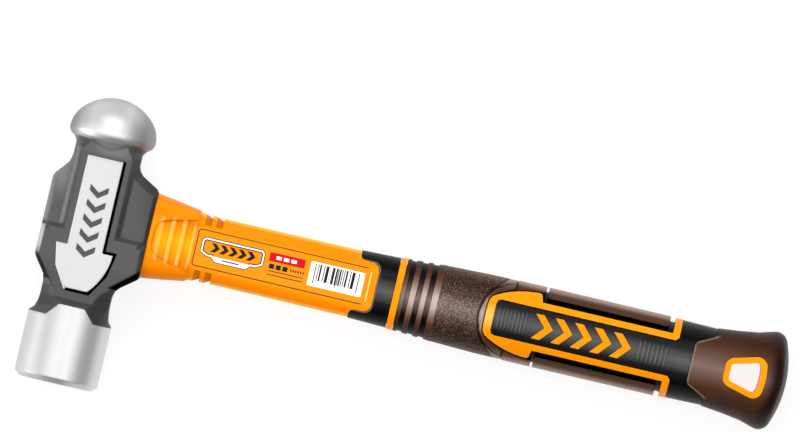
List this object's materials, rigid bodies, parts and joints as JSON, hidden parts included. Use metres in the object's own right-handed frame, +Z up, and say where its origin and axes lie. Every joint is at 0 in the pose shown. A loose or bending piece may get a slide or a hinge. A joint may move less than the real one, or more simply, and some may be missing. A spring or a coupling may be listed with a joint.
{
  "type": "ball peen hammer",
  "caption": "Ball peen hammer with a forged steel head, an orange fibreglass-cored handle and a black and brown soft grip with a hanging hole, lying on its side.",
  "frame": {"origin": "on the surface the hammer lies on, under the middle of its bounding box", "axes": "+X along the handle from the head to the butt, +Y along the head from the striking face to the ball, +Z up through the thickness"},
  "size_m": [0.2662, 0.102, 0.0307],
  "materials": {
    "head_steel": "satin dark grey paint on the body, bare ground steel on the ball and the poll",
    "fibreglass": "resin-bound glass fibre, sawn end",
    "epoxy": "cast potting resin",
    "orange_plastic": "moulded, satin gloss",
    "label_film": "printed film with plain marks",
    "black_plastic": "moulded, satin",
    "brown_rubber": "soft moulded, satin",
    "brown_rubber_textured": "soft moulded with a pebbled texture"
  },
  "bodies": {
    "root": {"hammer_head": "head_steel", "fibreglass_core": "fibreglass", "eye_epoxy": "epoxy", "handle_jacket": "orange_plastic", "shank_label": "label_film", "grip_body": "black_plastic", "front_ring": "orange_plastic", "palm_sleeve": "brown_rubber_textured", "grip_frame": "orange_plastic", "panel_inlay": "orange_plastic", "edge_strip_ball_side": "brown_rubber", "edge_strip_face_side": "brown_rubber", "edge_pad_ball_side": "brown_rubber", "edge_pad_face_side": "brown_rubber", "butt_boot": "brown_rubber", "hang_hole_liner": "orange_plastic"}
  },
  "joints": []
}
